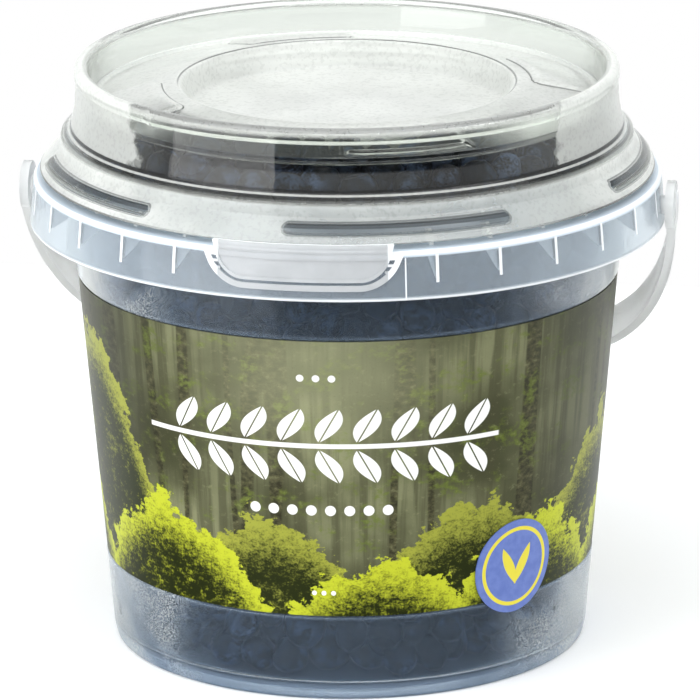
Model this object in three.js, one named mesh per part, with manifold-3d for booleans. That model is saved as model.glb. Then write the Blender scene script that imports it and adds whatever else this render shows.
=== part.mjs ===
import * as THREE from 'three';
import { mergeVertices } from 'three/addons/utils/BufferGeometryUtils.js';
import Module from 'manifold-3d';

// Lidded pail of wild blueberries: a tapered pail with a tamper collar and a tear tab, a clear domed
// lid pressed over its rim, a heap of berries that fills it, a wrap label, a badge and a strap handle.
// Millimetres, +Z up, the origin at the centre of the foot. The tear tab faces -Y, the handle pivots on X.

const wasm = await Module();
wasm.setup();

// Driving dimensions
const footRadius = 41.0;
const taper = 0.0868;             // wall radius gained for each millimetre of height
const labelBottom = 15.1;
const labelTop = 65.8;
const flangeTop = 82.9;
const flangeThickness = 0.9;
const collarRadius = 55.0;        // at the collar's lower edge, the widest line of the pail
const collarBottom = 74.6;
const collarThickness = 0.9;
const rimRadius = 48.3;
const rimTop = 89.2;
const wallThickness = 1.0;
const lidTop = 102.0;
const lidThickness = 0.8;
const lidRingRadius = 46.8;
const shelfRadius = 43.6;
const recessRadius = 29.0;
const recessFloor = 93.9;
const skirtRadius = 53.2;
const skirtBottom = 84.1;
const pivotHeight = 78.2;
const strapWidth = 7.0;
const strapHalfSpan = 56.4;       // from the pivot's centre plane to the strap, along X
const strapReach = 61.0;          // from the pivot axis to the middle of the strap
const strapHangDeg = 36;          // below the horizontal, at the middle, where it rests on the wall
const strapRootHangDeg = 56;      // below the horizontal, at the pivots
const gap = 0.3;                  // left between pieces that touch

// Sides of the turned parts
const turnSegments = 60;
const lidSegments = 48;

const wallRadiusAt = (z) => footRadius + 1.6 + taper * (z - labelBottom);

// Solids and booleans

function weld(geometry) {
  const bare = geometry.index ? geometry.toNonIndexed() : geometry.clone();
  for (const name of Object.keys(bare.attributes)) {
    if (name !== 'position') bare.deleteAttribute(name);
  }
  return mergeVertices(bare, 1e-4);
}

function toSolid(geometry) {
  const welded = weld(geometry);
  const kept = [];
  const index = welded.index.array;
  for (let i = 0; i < index.length; i += 3) {
    const [a, b, c] = [index[i], index[i + 1], index[i + 2]];
    if (a !== b && b !== c && c !== a) kept.push(a, b, c);
  }
  return new wasm.Manifold(new wasm.Mesh({
    numProp: 3,
    vertProperties: new Float32Array(welded.attributes.position.array),
    triVerts: new Uint32Array(kept),
  }));
}

function toGeometry(solid) {
  const mesh = solid.getMesh();
  const geometry = new THREE.BufferGeometry();
  geometry.setAttribute('position', new THREE.BufferAttribute(mesh.vertProperties, 3));
  geometry.setIndex(new THREE.BufferAttribute(mesh.triVerts, 1));
  geometry.computeVertexNormals();
  return geometry;
}

function join(solids) {
  return solids.reduce((sum, solid) => sum.add(solid));
}

// A profile of [radius, height] pairs, counterclockwise, turned about Z. Angle 0 is at -Y.
function turned(profile, segments = turnSegments) {
  const points = profile.map(([r, z]) => new THREE.Vector2(r, z));
  const onAxis = profile[0][0] === 0;
  if (!onAxis) points.push(points[0].clone());
  return new THREE.LatheGeometry(points, segments).rotateX(Math.PI / 2);
}

// A prism of a flat outline in the plane of [radius, height], standing across a radius at an angle
function radialPlate(outline, thickness, angle) {
  const shape = new THREE.Shape(outline.map(([r, z]) => new THREE.Vector2(r, z)));
  const plate = new THREE.ExtrudeGeometry(shape, { depth: thickness, bevelEnabled: false });
  plate.translate(0, 0, -thickness / 2);
  plate.rotateX(Math.PI / 2);
  return toSolid(plate.rotateZ(angle - Math.PI / 2));
}

// An upright block that follows a circle, between two radii, two angles from -Y and two heights
function arcBlock(innerRadius, outerRadius, fromDeg, toDeg, low, high) {
  const start = THREE.MathUtils.degToRad(fromDeg - 90);
  const end = THREE.MathUtils.degToRad(toDeg - 90);
  const shape = new THREE.Shape();
  shape.absarc(0, 0, outerRadius, start, end, false);
  shape.absarc(0, 0, innerRadius, end, start, true);
  const curveSegments = Math.max(2, Math.round((toDeg - fromDeg) / 6));
  const block = new THREE.ExtrudeGeometry(shape, { depth: high - low, bevelEnabled: false, curveSegments });
  return toSolid(block.translate(0, 0, low));
}

function cylinderAlongX(radius, x0, x1, z, sides = 20) {
  const cylinder = new THREE.CylinderGeometry(radius, radius, Math.abs(x1 - x0), sides);
  cylinder.rotateZ(Math.PI / 2);
  return toSolid(cylinder.translate((x0 + x1) / 2, 0, z));
}

// Pail: wall, foot ring, flange, collar and rim in one moulding

const footRingWidth = 2.4;
const floorUnderside = 1.6;
const labelRecess = 0.4;          // the wall is this much smaller behind the label
const recessRamp = 0.4;
const flangeUnderside = flangeTop - flangeThickness;
const wallTop = wallRadiusAt(flangeUnderside);
const innerOffset = wallThickness + labelRecess;
const collarTopRadius = 54.2;
const collarShoulder = 0.6;

function pailProfile() {
  const outer = [
    [0, floorUnderside],
    [footRadius - footRingWidth - 0.4, floorUnderside],
    [footRadius - footRingWidth, 0],
    [footRadius, 0],
    [footRadius + 0.4, 1.0],
    [wallRadiusAt(labelBottom), labelBottom],
    [wallRadiusAt(labelBottom) - labelRecess, labelBottom + recessRamp],
    [wallRadiusAt(labelTop) - labelRecess, labelTop - recessRamp],
    [wallRadiusAt(labelTop), labelTop],
    [wallTop, flangeUnderside],
    [collarTopRadius - collarThickness, flangeUnderside],
    [collarRadius - collarThickness, collarBottom],
    [collarRadius, collarBottom],
    [collarTopRadius, flangeTop - collarShoulder],
    [collarTopRadius - collarShoulder, flangeTop],
    [rimRadius + 0.1, flangeTop],
    [rimRadius - 0.1, rimTop - 0.4],
    [rimRadius - 0.5, rimTop],
  ];
  const inner = [
    [rimRadius - wallThickness, rimTop - 0.2],
    [wallTop - innerOffset, flangeUnderside],
    [wallRadiusAt(floorUnderside + wallThickness) - innerOffset, floorUnderside + wallThickness + 0.6],
    [footRadius - innerOffset - 0.6, floorUnderside + wallThickness],
    [0, floorUnderside + wallThickness],
  ];
  return outer.concat(inner);
}

const gussetStepDeg = 12;
const gussetThickness = 0.9;
const firstGussetDeg = 24;        // none stand behind the tear tab
const gussetFoot = 77.4;
const ribReach = 2.9;
const ribHeight = 3.2;

function gussets() {
  const plates = [];
  const gusset = [[collarTopRadius, gussetFoot], [collarTopRadius - 0.2, flangeUnderside + 0.4],
    [wallTop - 0.6, flangeUnderside + 0.4]];
  const rib = [[rimRadius - 0.4, flangeTop - 0.4], [rimRadius + ribReach, flangeTop - 0.4],
    [rimRadius - 0.4, flangeTop + ribHeight]];
  for (let deg = firstGussetDeg; deg <= 360 - firstGussetDeg; deg += gussetStepDeg) {
    const angle = THREE.MathUtils.degToRad(deg);
    plates.push(radialPlate(gusset, gussetThickness, angle), radialPlate(rib, gussetThickness, angle));
  }
  return join(plates);
}

const tabHalfDeg = 15.6;
const tabTopRight = 84.7;
const tabTopLeft = 84.1;
const tabBottom = 77.6;
const frameHalfDeg = 17.8;
const frameBarDeg = 1.6;
const frameBar = 2.2;
const frameRadius = 55.0;

function tearTab() {
  const back = collarTopRadius - collarThickness + 0.2;
  return join([
    arcBlock(back, frameRadius - 0.2, -tabHalfDeg, 0, tabBottom, tabTopLeft),
    arcBlock(back, frameRadius - 0.2, 0, tabHalfDeg, tabBottom, tabTopRight),
    arcBlock(back + 0.4, frameRadius, -frameHalfDeg, frameHalfDeg, collarBottom, collarBottom + frameBar),
    arcBlock(back, frameRadius, -frameHalfDeg, -frameHalfDeg + frameBarDeg, collarBottom, flangeTop),
    arcBlock(back, frameRadius, frameHalfDeg - frameBarDeg, frameHalfDeg, collarBottom, flangeTop),
  ]);
}

const pinRadius = 1.6;
const pinHoleRadius = 2.1;

function pail() {
  const body = toSolid(turned(pailProfile()));
  const holes = join([-1, 1].map((side) =>
    cylinderAlongX(pinHoleRadius, side * (collarTopRadius - 2), side * (collarRadius + 1), pivotHeight, 12)));
  return toGeometry(body.add(gussets()).add(tearTab()).subtract(holes));
}

// Lid: clear shell with a skirt, a shoulder bead, a dome wall, a top ring, a shelf and a recess

const shoulderRadius = 49.7;
const shoulderBottom = 88.9;
const wallFoot = 95.0;
const ringWidth = 2.2;
const shelfEdge = 98.7;
const shelfLow = 95.8;

function lidProfile() {
  const outside = [
    [skirtRadius, skirtBottom],
    [shoulderRadius + 0.2, shoulderBottom - 1.1],
    [shoulderRadius, shoulderBottom],
    [49.3, 89.9],
    [48.1, 91.9],
    [47.2, 93.4],
    [lidRingRadius + 0.1, wallFoot],
    [lidRingRadius, lidTop - 1.4],
    [lidRingRadius - 0.5, lidTop - 0.3],
    [lidRingRadius - ringWidth / 2, lidTop],
    [lidRingRadius - ringWidth + 0.2, lidTop - 0.5],
    [shelfRadius + 0.2, shelfLow + 0.6],
    [shelfRadius - 0.4, shelfLow],
    [recessRadius + 0.6, shelfEdge],
    [recessRadius - 0.1, shelfEdge - 0.4],
    [recessRadius - 1.8, recessFloor],
    [0, recessFloor],
  ];
  const t = lidThickness;
  const inside = [
    [0, recessFloor - t],
    [recessRadius - 1.2, recessFloor - t],
    [recessRadius + 0.7, shelfEdge - t - 0.2],
    [shelfRadius - 0.3, shelfLow - t],
    [shelfRadius + 0.9, shelfLow - t + 0.6],
    [lidRingRadius - ringWidth / 2 - 0.25, lidTop - t - 0.2],
    [lidRingRadius - t, lidTop - t - 0.6],
    [lidRingRadius - t + 0.1, wallFoot - 0.1],
    [46.4, 93.1],
    [47.3, 91.5],
    [48.5, 89.6],
    [shoulderRadius - t, shoulderBottom - 0.2],
    [shoulderRadius - t + 0.2, shoulderBottom - 1.6],
    [skirtRadius - 0.7, skirtBottom - 0.5],
  ];
  return outside.concat(inside);
}

const padCount = 4;
const padCentreDeg = 23;
const padHalfDeg = 15;
const padInner = 32;
const padOuter = 42;
const padRise = 0.7;

// A raised arc on the sloping shelf: a low turned ring, cut to its arc
function shelfPads() {
  const slope = (shelfEdge - shelfLow) / (shelfRadius - recessRadius - 1.0);
  const shelfAt = (r) => shelfEdge - slope * (r - recessRadius - 0.6);
  const ring = toSolid(turned([
    [padInner, shelfAt(padInner) - 0.4],
    [padOuter, shelfAt(padOuter) - 0.4],
    [padOuter - 0.8, shelfAt(padOuter - 0.8) + padRise],
    [padInner + 0.8, shelfAt(padInner + 0.8) + padRise],
  ], lidSegments));
  const arcs = [];
  for (let i = 0; i < padCount; i += 1) {
    const centre = padCentreDeg + i * 360 / padCount;
    arcs.push(arcBlock(padInner - 2, padOuter + 2, centre - padHalfDeg, centre + padHalfDeg,
      shelfLow - 2, lidTop));
  }
  return ring.intersect(join(arcs));
}

const dimpleCount = 5;
const dimpleFirstDeg = 18;
const dimpleHalfDeg = 21;
const dimpleRise = 0.5;

// Long low bosses on the skirt, pressed outwards
function skirtDimples() {
  const along = (share) => [
    skirtRadius + share * (shoulderRadius + 0.2 - skirtRadius),
    skirtBottom + share * (shoulderBottom - 1.1 - skirtBottom),
  ];
  const [lowR, lowZ] = along(0.3);
  const [midR, midZ] = along(0.55);
  const [highR, highZ] = along(0.8);
  const ring = toSolid(turned([
    [lowR - 0.3, lowZ - 0.2],
    [midR + dimpleRise * 0.8, midZ + dimpleRise * 0.7],
    [highR - 0.3, highZ - 0.2],
  ], lidSegments));
  const arcs = [];
  for (let i = 0; i < dimpleCount; i += 1) {
    const centre = dimpleFirstDeg + i * 360 / dimpleCount;
    arcs.push(arcBlock(shoulderRadius - 2, skirtRadius + 2, centre - dimpleHalfDeg, centre + dimpleHalfDeg,
      skirtBottom, shoulderBottom));
  }
  return ring.intersect(join(arcs));
}

function lid() {
  return toGeometry(toSolid(turned(lidProfile(), lidSegments)).add(shelfPads()).add(skirtDimples()));
}

// Label: a thin printed wrap, open by a narrow seam at the back

const labelThickness = 0.25;
const seamHalfWidth = 0.4;

function label() {
  const low = labelBottom + 0.6;
  const high = labelTop - 0.6;
  const inner = (z) => wallRadiusAt(z) - labelRecess + gap;
  const ring = toSolid(turned([
    [inner(low), low],
    [inner(low) + labelThickness, low],
    [inner(high) + labelThickness, high],
    [inner(high), high],
  ]));
  const seam = new THREE.BoxGeometry(2 * seamHalfWidth, 20, lidTop).translate(0, wallTop, lidTop / 2);
  return toGeometry(ring.subtract(toSolid(seam)));
}

// Badge: a round sticker over the label's lower edge, bent to the wall

const badgeRadius = 8.4;
const badgeCentreDeg = 49;
const badgeHeight = 21.2;
const badgeThickness = 0.3;

function badge() {
  const offset = labelThickness + 2 * gap - labelRecess;
  const [low, high] = [badgeHeight - badgeRadius - 2, badgeHeight + badgeRadius + 2];
  const skin = toSolid(turned([
    [wallRadiusAt(low) + offset, low],
    [wallRadiusAt(low) + offset + badgeThickness, low],
    [wallRadiusAt(high) + offset + badgeThickness, high],
    [wallRadiusAt(high) + offset, high],
  ]));
  const punch = new THREE.CylinderGeometry(badgeRadius, badgeRadius, 30, 28);
  punch.translate(0, -45, 0);
  const placed = punch.rotateZ(THREE.MathUtils.degToRad(badgeCentreDeg)).translate(0, 0, badgeHeight);
  return toGeometry(skin.intersect(toSolid(placed)));
}

// Berries: the packed heap, a plain core with the berries that show fused on

const berryRadius = 3.5;
const coreInset = 2.6;
const heapWallClear = 0.5;
const heapEdge = 90.4;
const heapCrown = 94.6;
const heapUnderRecess = 92.7;
const heapSpacing = 8.8;
const heapRings = [42.8, 35.2, 26.2, 14.0];

// A small repeatable random draw
function seededDraw(seed) {
  let state = seed;
  return () => {
    state = (state * 1664525 + 1013904223) % 4294967296;
    return state / 4294967296;
  };
}

function berry(draw, radius, centre) {
  const ball = new THREE.SphereGeometry(radius, 6, 3);
  ball.scale(1, 1, 0.9);
  ball.rotateX(draw() * Math.PI);
  ball.rotateZ(draw() * Math.PI);
  return toSolid(ball.translate(centre.x, centre.y, centre.z));
}

const innerRadiusAt = (z) => wallRadiusAt(z) - innerOffset - heapWallClear;

function heapTopAt(r) {
  if (r < recessRadius + 2) return heapUnderRecess;
  const share = (r - recessRadius - 2) / (rimRadius - 4 - recessRadius - 2);
  return heapCrown + (heapEdge - heapCrown) * Math.min(1, share) ** 2;
}

function heapCore() {
  const bottom = floorUnderside + wallThickness + 2 * gap;
  const top = rimRadius - wallThickness - coreInset;
  return toSolid(turned([
    [0, bottom],
    [innerRadiusAt(bottom) - 1.6, bottom],
    [innerRadiusAt(bottom) - 0.8, bottom + 2],
    [innerRadiusAt(flangeUnderside) - 1.8, flangeUnderside],
    [top, heapEdge - coreInset],
    [recessRadius + 8, heapCrown - coreInset],
    [recessRadius, heapUnderRecess - coreInset],
    [0, heapUnderRecess - coreInset],
  ], 30));
}

// One ring of berries, each a little off its even place, in size and in height
function berryRing(draw, ringRadius, spacing, heightOf) {
  const count = Math.round(2 * Math.PI * ringRadius / spacing);
  const ring = [];
  for (let i = 0; i < count; i += 1) {
    const radius = berryRadius * (0.84 + 0.26 * draw());
    const angle = 2 * Math.PI * (i + 0.5 * draw()) / count;
    const z = heightOf(i, radius) - 0.9 * draw();
    ring.push(berry(draw, radius, new THREE.Vector3(
      ringRadius * Math.cos(angle), ringRadius * Math.sin(angle), z)));
  }
  return ring;
}

function berries() {
  const draw = seededDraw(11);
  const pieces = [heapCore()];
  for (const ringRadius of heapRings) {
    const onTop = (i, radius) => heapTopAt(ringRadius) - radius;
    pieces.push(...berryRing(draw, ringRadius, heapSpacing, onTop));
  }
  // Berries that press against the wall between the collar and the label, high and low by turns
  const band = (labelTop + collarBottom) / 2;
  const zigzag = (i) => band + (i % 2 ? 3.4 : -2.2);
  pieces.push(...berryRing(draw, innerRadiusAt(band) - 1.1 * berryRadius, heapSpacing, zigzag));
  return toGeometry(join(pieces));
}

// Handle: a strap bent round the pail, with a disc, a pin and a hooked head at each pivot

const strapBead = 0.75;           // half the thickness of the strap's edges
const strapWeb = 0.45;            // half the thickness between them
const strapSteps = 30;
const discRadius = 4.2;
const headRadius = 3.0;

const strapOutline = [[-1, -strapBead], [-0.8, -strapWeb], [0.8, -strapWeb], [1, -strapBead],
  [1, strapBead], [0.8, strapWeb], [-0.8, strapWeb], [-1, strapBead]];

// The strap's section at an angle round its loop: across its width by outline[0], through it by outline[1]
function strapSection(angle) {
  const hang = strapHangDeg + (strapRootHangDeg - strapHangDeg) * Math.abs(Math.cos(angle)) ** 1.6;
  const beta = THREE.MathUtils.degToRad(hang);
  const reach = strapReach * Math.sin(angle);
  const centre = new THREE.Vector3(strapHalfSpan * Math.cos(angle), reach * Math.cos(beta),
    pivotHeight - reach * Math.sin(beta));
  const across = new THREE.Vector3(0, Math.sin(beta), Math.cos(beta));
  const through = new THREE.Vector3(Math.cos(angle) / strapHalfSpan,
    Math.sin(angle) * Math.cos(beta) / strapReach, -Math.sin(angle) * Math.sin(beta) / strapReach).normalize();
  return strapOutline.map(([u, v]) =>
    centre.clone().addScaledVector(across, u * strapWidth / 2).addScaledVector(through, v));
}

// The strap's sections skinned into one closed solid
function strap() {
  const count = strapOutline.length;
  const positions = [];
  const index = [];
  for (let i = 0; i <= strapSteps; i += 1) {
    for (const point of strapSection(Math.PI * i / strapSteps)) positions.push(...point.toArray());
    for (let j = 0; j < count && i < strapSteps; j += 1) {
      const a = i * count + j;
      const b = i * count + (j + 1) % count;
      index.push(a, b, a + count, b, b + count, a + count);
    }
  }
  const last = strapSteps * count;
  const outline = strapOutline.map(([u, v]) => new THREE.Vector2(u, v));
  for (const [a, b, c] of THREE.ShapeUtils.triangulateShape(outline, [])) {
    index.push(a, c, b, last + a, last + b, last + c);
  }
  const geometry = new THREE.BufferGeometry();
  geometry.setAttribute('position', new THREE.Float32BufferAttribute(positions, 3));
  geometry.setIndex(index);
  return toSolid(geometry);
}

function handle() {
  const pieces = [strap()];
  for (const side of [-1, 1]) {
    pieces.push(
      cylinderAlongX(discRadius, side * (collarRadius + gap + 0.2), side * (strapHalfSpan + 0.6), pivotHeight),
      cylinderAlongX(pinRadius, side * (collarTopRadius - 2.4), side * strapHalfSpan, pivotHeight, 12),
      cylinderAlongX(headRadius, side * (collarTopRadius - 2.8), side * (collarTopRadius - 1.6), pivotHeight, 12),
    );
  }
  return toGeometry(join(pieces));
}

// Finishes

function moulded(color, roughness, opacity = 1) {
  return new THREE.MeshStandardMaterial({ color, roughness, metalness: 0, opacity, transparent: opacity < 1 });
}

const finishes = {
  pail: moulded(0xc9d3d8, 0.4, 0.5),
  lid: moulded(0xe8eeea, 0.12, 0.3),
  berries: moulded(0x1b2033, 0.55),
  label: moulded(0x4b5138, 0.45),
  badge: moulded(0x5f74b8, 0.45),
  handle: moulded(0xeef0ef, 0.4, 0.7),
};

const root = new THREE.Group();
const shapes = { pail: pail(), lid: lid(), berries: berries(), label: label(), badge: badge(), handle: handle() };
for (const [name, geometry] of Object.entries(shapes)) {
  const mesh = new THREE.Mesh(geometry, finishes[name]);
  mesh.name = name;
  root.add(mesh);
}

export default root;
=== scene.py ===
import math

import bpy
import numpy as np
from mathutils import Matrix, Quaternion, Vector


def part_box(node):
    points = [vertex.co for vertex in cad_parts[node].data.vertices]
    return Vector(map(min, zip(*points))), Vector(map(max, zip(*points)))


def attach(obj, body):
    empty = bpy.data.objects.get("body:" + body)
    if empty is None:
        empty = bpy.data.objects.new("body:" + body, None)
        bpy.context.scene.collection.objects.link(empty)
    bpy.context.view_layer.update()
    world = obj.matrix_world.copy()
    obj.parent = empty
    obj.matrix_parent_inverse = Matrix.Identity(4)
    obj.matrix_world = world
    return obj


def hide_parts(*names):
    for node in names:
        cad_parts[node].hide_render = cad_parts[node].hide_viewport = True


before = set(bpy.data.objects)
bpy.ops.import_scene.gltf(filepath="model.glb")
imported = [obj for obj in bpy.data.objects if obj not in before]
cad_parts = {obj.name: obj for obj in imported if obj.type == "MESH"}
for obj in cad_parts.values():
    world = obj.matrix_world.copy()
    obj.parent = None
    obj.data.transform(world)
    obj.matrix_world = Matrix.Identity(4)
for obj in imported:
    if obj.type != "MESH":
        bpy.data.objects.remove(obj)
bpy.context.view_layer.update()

# Studio. The pail stands on a plain white table between two soft lights in front and one behind,
# under a wide white canopy above the camera. The room in front is dim, and the front of the table
# is dark in the plastic's reflections alone, so that clear edges show. The lens is long.

mm = 0.001

view_azimuth = math.radians(8.2)
view_elevation = math.radians(16.54)
view_distance = 1223 * mm
view_roll = math.radians(-0.34)
view_aim = Vector((0, 0, 50.1 * mm))
view_offset = 0.0021          # the pail stands a pixel and a half left of the picture's middle

toward_camera = Vector((
    math.sin(view_azimuth) * math.cos(view_elevation),
    -math.cos(view_azimuth) * math.cos(view_elevation),
    math.sin(view_elevation),
))
bpy.ops.object.camera_add(location=view_aim + view_distance * toward_camera)
camera = bpy.context.object
camera.rotation_mode = "QUATERNION"
camera.rotation_quaternion = toward_camera.to_track_quat("Z", "Y") @ Quaternion((0, 0, 1), view_roll)
camera.data.lens = 360.8
camera.data.sensor_width = 36
camera.data.shift_x = view_offset
camera.data.clip_end = 20
bpy.context.scene.camera = camera
bpy.context.scene.view_settings.view_transform = "Standard"


def soft_box(name, place, size, power):
    """A square area light that faces the pail."""
    bpy.ops.object.light_add(type="AREA", location=place)
    light = bpy.context.object
    light.name = name
    light.data.size = size
    light.data.energy = power
    light.rotation_mode = "QUATERNION"
    light.rotation_quaternion = (Vector(place) - view_aim).to_track_quat("Z", "Y")


soft_box("key_light", (-0.75, -0.75, 0.95), size=0.7, power=3)
soft_box("fill_light", (0.95, -0.45, 0.6), size=0.5, power=1.5)
soft_box("back_light", (0.15, 0.8, 1.35), size=0.8, power=3)
soft_box("side_card", (-0.134, -0.157, 0.07), size=0.163, power=0.13)


class Wire:
    """A socket of a shader that takes part in sums, so that masks are written as expressions."""

    def __init__(self, tree, output=None):
        self.tree = tree
        self.output = output

    def node(self, kind, settings=None, sockets=None, output=0):
        """Any node. Its sockets take numbers, other wires, and colours of three numbers."""
        made = self.tree.nodes.new(kind)
        for name, value in (settings or {}).items():
            setattr(made, name, value)
        for name, value in (sockets or {}).items():
            socket = made.inputs[name]
            if isinstance(value, Wire):
                self.tree.links.new(value.output, socket)
            else:
                socket.default_value = (*value, 1) if socket.type == "RGBA" else value
        return Wire(self.tree, made.outputs[output])

    def math(self, operation, *others):
        return self.node("ShaderNodeMath", {"operation": operation}, dict(enumerate((self, *others))))

    def after(self, operation, first):
        return self.node("ShaderNodeMath", {"operation": operation}, {0: first, 1: self})

    def __add__(self, other):
        return self.math("ADD", other)

    def __radd__(self, other):
        return self.after("ADD", other)

    def __sub__(self, other):
        return self.math("SUBTRACT", other)

    def __rsub__(self, other):
        return self.after("SUBTRACT", other)

    def __mul__(self, other):
        return self.math("MULTIPLY", other)

    def __rmul__(self, other):
        return self.after("MULTIPLY", other)

    def __truediv__(self, other):
        return self.math("DIVIDE", other)

    def __abs__(self):
        return self.math("ABSOLUTE")

    def at_least(self, other):
        return self.math("MAXIMUM", other)

    def at_most(self, other):
        return self.math("MINIMUM", other)

    def step(self, low, high, to_low=0.0, to_high=1.0):
        """Smoothly from to_low to to_high as the value goes from low to high."""
        return self.node(
            "ShaderNodeMapRange", {"interpolation_type": "SMOOTHSTEP"},
            {"Value": self, "From Min": low, "From Max": high, "To Min": to_low, "To Max": to_high})

    def line(self, level, edge, core):
        """A thin line where the value passes a level: 1 within core of it, 0 from edge on."""
        return abs(self - level).step(edge, core)

    def mix(self, first, second):
        """The first colour where this mask is 0, the second where it is 1."""
        sockets = {"Factor": self, 6: first, 7: second}
        return self.node("ShaderNodeMix", {"data_type": "RGBA"}, sockets, 2)

    def mix_shaders(self, first, second):
        """The first shader where this mask is 0, the second where it is 1."""
        return self.node("ShaderNodeMixShader", None, {0: self, 1: first, 2: second})

    def noise(self, scale, detail=3.0, roughness=0.5):
        """Noise over this place, from about 0.3 to 0.7."""
        sockets = {"Vector": self, "Scale": scale, "Detail": detail, "Roughness": roughness}
        return self.node("ShaderNodeTexNoise", None, sockets)

    def bump(self, strength, depth):
        """A relief of this value, its depth in millimetres."""
        sockets = {"Strength": strength, "Distance": depth * mm, "Height": self}
        return self.node("ShaderNodeBump", None, sockets)

    def split(self):
        """The three parts of a vector."""
        parts = self.tree.nodes.new("ShaderNodeSeparateXYZ")
        self.tree.links.new(self.output, parts.inputs[0])
        return [Wire(self.tree, part) for part in parts.outputs]


def colour(red, green, blue):
    """A colour as a picture gives it, 0 to 255 a channel, in linear light."""
    return tuple((value / 255) ** 2.2 for value in (red, green, blue))


def new_finish(name):
    """A new material without nodes, and the start of its wires."""
    material = bpy.data.materials.new(name)
    material.use_nodes = True
    material.node_tree.nodes.clear()
    return material, Wire(material.node_tree)


def principled(wire, sockets):
    return wire.node("ShaderNodeBsdfPrincipled", None, sockets)


def finished(material, shader, *pieces):
    """Give a material its shader, and pieces the material."""
    surface = material.node_tree.nodes.new("ShaderNodeOutputMaterial").inputs["Surface"]
    material.node_tree.links.new(shader.output, surface)
    for piece in pieces:
        piece.data.materials.append(material)


table_white = colour(250, 250, 250)
table_reflected_shade = colour(60, 62, 64)
bpy.ops.mesh.primitive_plane_add(size=0.44)
table = bpy.context.object
table.name = "table"
material, wire = new_finish("table_white")
# Painted shade: the table's front half turns dark grey, but only in the plastic's reflections.
mirrored = wire.node("ShaderNodeLightPath", output="Is Glossy Ray")
front_half = wire.node("ShaderNodeTexCoord", output="Object").split()[1].step(0.02, -0.04)
table_colour = (mirrored * front_half).mix(table_white, table_reflected_shade)
finished(material, principled(wire, {"Base Color": table_colour, "Roughness": 0.7}), table)

sky_white = (0.93, 0.95, 0.95)
room_dim = (0.04, 0.045, 0.05)
canopy_white = (3.2, 3.25, 3.3)
gap_grey = (0.3, 0.31, 0.31)
canopy_bearing = 10
world = bpy.data.worlds.new("studio")
bpy.context.scene.world = world
world.use_nodes = True
wire = Wire(world.node_tree)
east, north, up = wire.node("ShaderNodeTexCoord", output="Generated").split()
round_front = east.math("ARCTAN2", 0 - north) * (180 / math.pi) - canopy_bearing
front_room = north.step(-0.1, -0.6) * up.step(0.12, -0.04)
canopy = abs(round_front).step(76, 70) * up.step(0.68, 0.74) * up.step(0.95, 0.90)
back_gap = north.step(0.2, 0.4) * up.step(0.42, 0.5) * up.step(0.82, 0.74)
sky = front_room.mix(sky_white, room_dim)
sky = canopy.mix(sky, canopy_white)
sky = back_gap.mix(sky, gap_grey)
sky = wire.node("ShaderNodeLightPath", output="Is Camera Ray").mix(sky, (1, 1, 1))
world.node_tree.links.new(sky.output, world.node_tree.nodes["Background"].inputs["Color"])


# Pail. A tapered pail of milky polypropylene with a foot ring, moulded in one piece with a flange
# and a tamper collar that hangs round its neck. Thin gussets carry the collar inside, low ribs
# stand on the flange, and the tear tab is framed by a U-shaped bead at the front.

_, pail_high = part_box("pail")
_, lid_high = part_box("lid")
collar_radius = pail_high[0] / mm
rim_top = pail_high[2] / mm
lid_top = lid_high[2] / mm
skirt_radius = lid_high[0] / mm
foot_radius = collar_radius - 14.0
label_bottom = 15.1
label_top = 65.8
label_recess = 0.4
wall_taper = 0.0868
wall_skin = 1.0
collar_bottom = 74.6
collar_skin = 0.9
flange_top = 82.9
flange_underside = flange_top - 0.9
collar_top_radius = collar_radius - 0.8
rim_radius = 48.3


def wall_radius(height):
    """The outer radius of the pail's wall, in millimetres."""
    return foot_radius + 1.6 + wall_taper * (height - label_bottom)


def rounded(corners, steps=4):
    """Corners (radius, height, fillet) as outline points, each fillet an arc of a few steps."""
    outline = []
    for i, (radius, height, fillet) in enumerate(corners):
        here = Vector((radius, height))
        if not fillet:
            outline.append(here)
            continue
        before = (Vector(corners[i - 1][:2]) - here).normalized()
        after = (Vector(corners[(i + 1) % len(corners)][:2]) - here).normalized()
        half = before.angle(after) / 2
        centre = here + (before + after).normalized() * fillet / math.sin(half)
        start = here + before * fillet / math.tan(half) - centre
        end = here + after * fillet / math.tan(half) - centre
        for k in range(steps + 1):
            outline.append(centre + start.lerp(end, k / steps).normalized() * fillet)
    return outline


def evenly(outline, longest):
    """The same outline with its long spans cut into even shorter ones."""
    cut = []
    for here, there in zip(outline, outline[1:]):
        count = max(1, math.ceil((there - here).length / longest))
        cut += [here.lerp(there, k / count) for k in range(count)]
    return cut + [outline[-1]]


def alone(piece):
    """Select one piece, and make it the active one."""
    bpy.ops.object.select_all(action="DESELECT")
    piece.select_set(True)
    bpy.context.view_layer.objects.active = piece


def face_outwards():
    """Turn the faces of the mesh in edit mode outwards, and leave edit mode."""
    bpy.ops.mesh.select_all(action="SELECT")
    bpy.ops.mesh.normals_make_consistent(inside=False)
    bpy.ops.object.mode_set(mode="OBJECT")


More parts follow.
